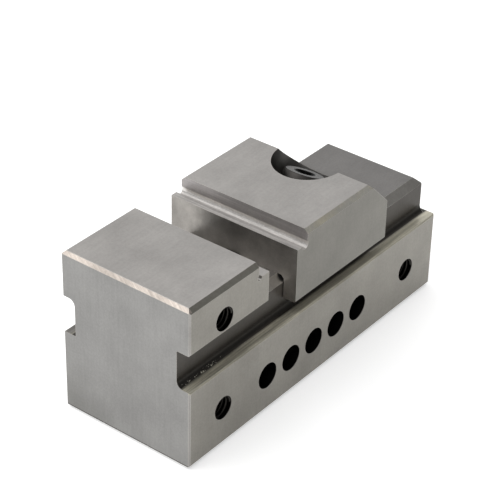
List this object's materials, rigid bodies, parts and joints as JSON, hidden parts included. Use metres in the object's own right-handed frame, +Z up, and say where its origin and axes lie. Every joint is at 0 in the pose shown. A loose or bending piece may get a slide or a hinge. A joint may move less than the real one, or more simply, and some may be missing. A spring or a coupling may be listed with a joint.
{
  "type": "screwless vise",
  "caption": "Small ground steel vise: slotted body with a fixed jaw, and a movable jaw that straddles its rail and is drawn forward and down by a slanted screw.",
  "frame": {"origin": "middle of the body's bottom face", "axes": "+X along the vise from the fixed jaw to the open end of the rail, +Y across it, +Z up"},
  "size_m": [0.065, 0.025, 0.0292],
  "materials": {
    "ground_steel": "hardened and surface ground, bright",
    "screw_steel": "turned, oiled",
    "black_steel": "milled, black oxide",
    "pin_steel": "hardened and ground"
  },
  "bodies": {
    "body": {"vise_body": "ground_steel"},
    "jaw": {"movable_jaw": "ground_steel"},
    "swivel": {"ball_washer": "screw_steel"},
    "screw": {"clamp_screw": "screw_steel"},
    "nut": {"pull_block": "black_steel", "cross_pin": "pin_steel"}
  },
  "joints": [
    {"name": "jaw_slide", "type": "slide", "parent": "body", "child": "jaw", "axis": [1, 0, 0], "range_m": [-0.00703, 0.0107]},
    {"name": "screw_swing", "type": "hinge", "parent": "jaw", "child": "swivel", "pos_m": [0.0105, 0, 0.02478], "axis": [0, 1, 0], "range_deg": [0, 20]},
    {"name": "screw_turn", "type": "hinge", "parent": "swivel", "child": "screw", "pos_m": [0.0105, 0, 0.02478], "axis": [-0.4226, 0, -0.9063], "range_deg": [0, 248.2]},
    {"name": "nut_lift", "type": "slide", "parent": "swivel", "child": "nut", "axis": [0.4226, 0, 0.9063], "range_m": [0, 0.000482]}
  ],
  "couplings": [
    {"joint": "screw_turn", "follows": "nut_lift", "rad_per_m": 8976}
  ]
}
